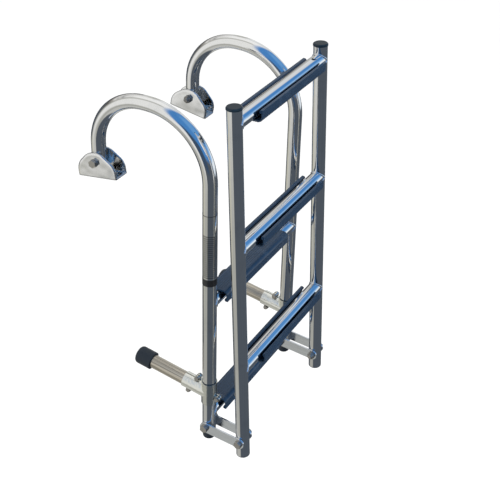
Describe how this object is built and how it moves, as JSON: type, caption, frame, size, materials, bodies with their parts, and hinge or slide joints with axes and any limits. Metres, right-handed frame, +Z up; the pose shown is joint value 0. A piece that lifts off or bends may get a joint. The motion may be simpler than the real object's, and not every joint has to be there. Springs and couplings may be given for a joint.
{
  "type": "folding boarding ladder with gunwale hooks",
  "caption": "Folding stainless boarding ladder with gooseneck gunwale hooks, swivelling deck brackets, hull standoffs and a lower section that folds up on link plates.",
  "frame": {"origin": "middle of the left deck bracket's base face, which screws hold to the deck", "axes": "+X outboard, away from the boat; +Y to the right of a climber who faces the boat; +Z up along the upper stiles"},
  "size_m": [0.348, 0.3448, 0.703],
  "materials": {
    "polished_tube": "mirror-polished stainless",
    "satin_tube": "satin stainless",
    "cast_fitting": "polished casting",
    "bracket_steel": "polished stainless",
    "link_steel": "brushed stainless",
    "fasteners": "stainless fasteners",
    "black_plastic": "fine matte grain",
    "cap_plastic": "smooth",
    "rubber": "matte rubber"
  },
  "bodies": {
    "upper_section": {"left_hook_stile": "polished_tube", "left_stile_foot": "rubber", "left_standoff_clamp": "cast_fitting", "left_clamp_liner": "rubber", "left_clamp_bolts": "fasteners", "left_standoff_arm": "satin_tube", "left_standoff_bumper": "rubber", "right_hook_stile": "polished_tube", "right_stile_foot": "rubber", "right_standoff_clamp": "cast_fitting", "right_clamp_liner": "rubber", "right_clamp_bolts": "fasteners", "right_standoff_arm": "satin_tube", "right_standoff_bumper": "rubber", "step_1_rung": "polished_tube", "step_1_pad": "black_plastic", "step_2_rung": "polished_tube", "step_2_pad": "black_plastic"},
    "left_bracket": {"left_deck_bracket": "bracket_steel", "left_bracket_bolt": "fasteners"},
    "right_bracket": {"right_deck_bracket": "bracket_steel", "right_bracket_bolt": "fasteners"},
    "fold_links": {"left_outer_link": "link_steel", "left_inner_link": "link_steel", "left_upper_link_bolt": "fasteners", "left_lower_link_bolt": "fasteners", "right_outer_link": "link_steel", "right_inner_link": "link_steel", "right_upper_link_bolt": "fasteners", "right_lower_link_bolt": "fasteners"},
    "lower_section": {"left_lower_stile": "polished_tube", "left_stile_cap": "cap_plastic", "left_stile_plug": "cap_plastic", "right_lower_stile": "polished_tube", "right_stile_cap": "cap_plastic", "right_stile_plug": "cap_plastic", "step_3_rung": "polished_tube", "step_3_pad": "black_plastic", "step_4_rung": "polished_tube", "step_4_pad": "black_plastic", "step_5_rung": "polished_tube", "step_5_pad": "black_plastic"}
  },
  "joints": [
    {"name": "left_bracket_swivel", "type": "hinge", "parent": "upper_section", "child": "left_bracket", "pos_m": [-0.00605, 0, 0.0266], "axis": [0, 1, 0], "range_deg": [-86, 103]},
    {"name": "right_bracket_swivel", "type": "hinge", "parent": "upper_section", "child": "right_bracket", "pos_m": [-0.00605, 0.3, 0.0266], "axis": [0, 1, 0], "range_deg": [-104, 85]},
    {"name": "link_fold", "type": "hinge", "parent": "upper_section", "child": "fold_links", "pos_m": [0.21396, 0.15, -0.4676], "axis": [0, 1, 0], "range_deg": [0, 85.5]},
    {"name": "lower_section_fold", "type": "hinge", "parent": "fold_links", "child": "lower_section", "pos_m": [0.28593, 0.15, -0.47327], "axis": [0, 1, 0], "range_deg": [0, 97.1]}
  ]
}
